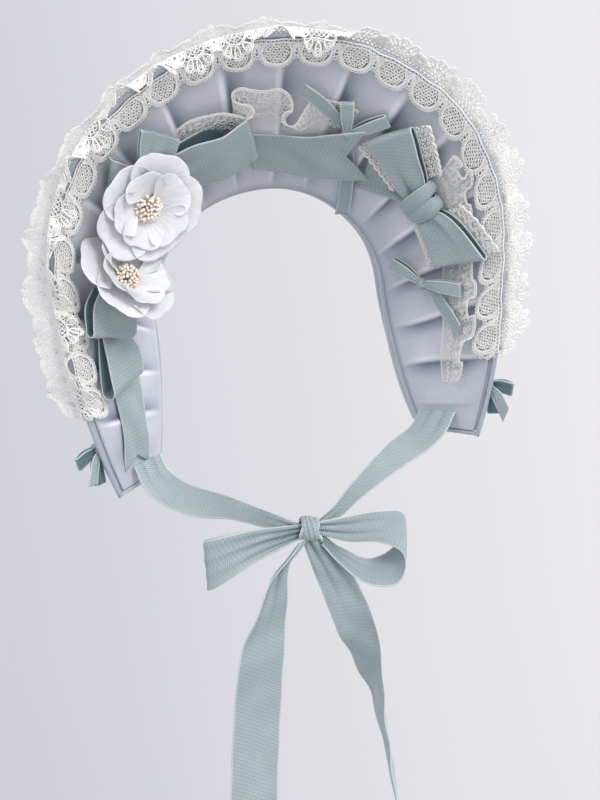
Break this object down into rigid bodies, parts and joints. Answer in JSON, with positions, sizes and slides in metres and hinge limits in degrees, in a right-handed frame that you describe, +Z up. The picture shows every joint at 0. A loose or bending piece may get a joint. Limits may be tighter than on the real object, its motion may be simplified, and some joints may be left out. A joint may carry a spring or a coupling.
{
  "type": "lolita bonnet",
  "caption": "Half bonnet with a horseshoe brim of pleated satin, pierced lace edge, wide ribbon bows, organza flowers and a ribbon tied under the chin.",
  "frame": {"origin": "top of the seat arch, where the bonnet rests on the crown of the head", "axes": "+Z up along the wearer's height, -Y the way the wearer faces, +X towards the viewer's right"},
  "size_m": [0.3738, 0.1459, 0.6574],
  "materials": {
    "satin": "light blue-grey satin",
    "binding": "corded satin bias",
    "ribbon": "matte grosgrain, dusty teal",
    "lace": "off-white guipure lace",
    "tulle": "off-white embroidered tulle",
    "organza": "sheer white organza",
    "stamen": "cream beaded thread"
  },
  "bodies": {
    "root": {"back_frill": "tulle", "brim_lining": "satin", "brim_shell": "satin", "centre_ribbon_tail": "ribbon", "chin_knot": "ribbon", "chin_loop_left": "ribbon", "chin_loop_right": "ribbon", "chin_strap_left": "ribbon", "chin_strap_right": "ribbon", "chin_tail_left": "ribbon", "chin_tail_right": "ribbon", "edge_binding": "binding", "edge_lace_inner": "lace", "edge_lace_outer": "lace", "head_band": "satin", "inner_frill_right": "tulle", "inner_frill_top": "tulle", "left_bow_knot": "ribbon", "left_bow_loop_low_lower": "ribbon", "left_bow_loop_low_upper": "ribbon", "left_bow_loop_right": "ribbon", "left_bow_loop_side": "ribbon", "left_bow_loop_up": "ribbon", "left_bow_low_knot": "ribbon", "left_bow_tail": "ribbon", "left_edge_bow_knot": "ribbon", "left_edge_bow_loop_1": "ribbon", "left_edge_bow_loop_2": "ribbon", "left_edge_bow_tail_1": "ribbon", "left_edge_bow_tail_2": "ribbon", "lower_flower_inner_petals": "organza", "lower_flower_outer_petals": "organza", "lower_flower_stamens": "stamen", "right_bow_knot": "ribbon", "right_bow_lace_low": "lace", "right_bow_lace_up": "lace", "right_bow_loop_low": "ribbon", "right_bow_loop_up": "ribbon", "right_bow_tail": "ribbon", "right_edge_bow_knot": "ribbon", "right_edge_bow_loop_1": "ribbon", "right_edge_bow_loop_2": "ribbon", "right_edge_bow_tail_1": "ribbon", "right_narrow_bow_knot": "ribbon", "right_narrow_bow_loop_1": "ribbon", "right_narrow_bow_loop_2": "ribbon", "right_narrow_bow_tail_1": "ribbon", "top_narrow_bow_knot": "ribbon", "top_narrow_bow_loop_1": "ribbon", "top_narrow_bow_loop_2": "ribbon", "top_narrow_bow_tail_1": "ribbon", "top_narrow_bow_tail_2": "ribbon", "upper_flower_inner_petals": "organza", "upper_flower_outer_petals": "organza", "upper_flower_stamens": "stamen"}
  },
  "joints": []
}
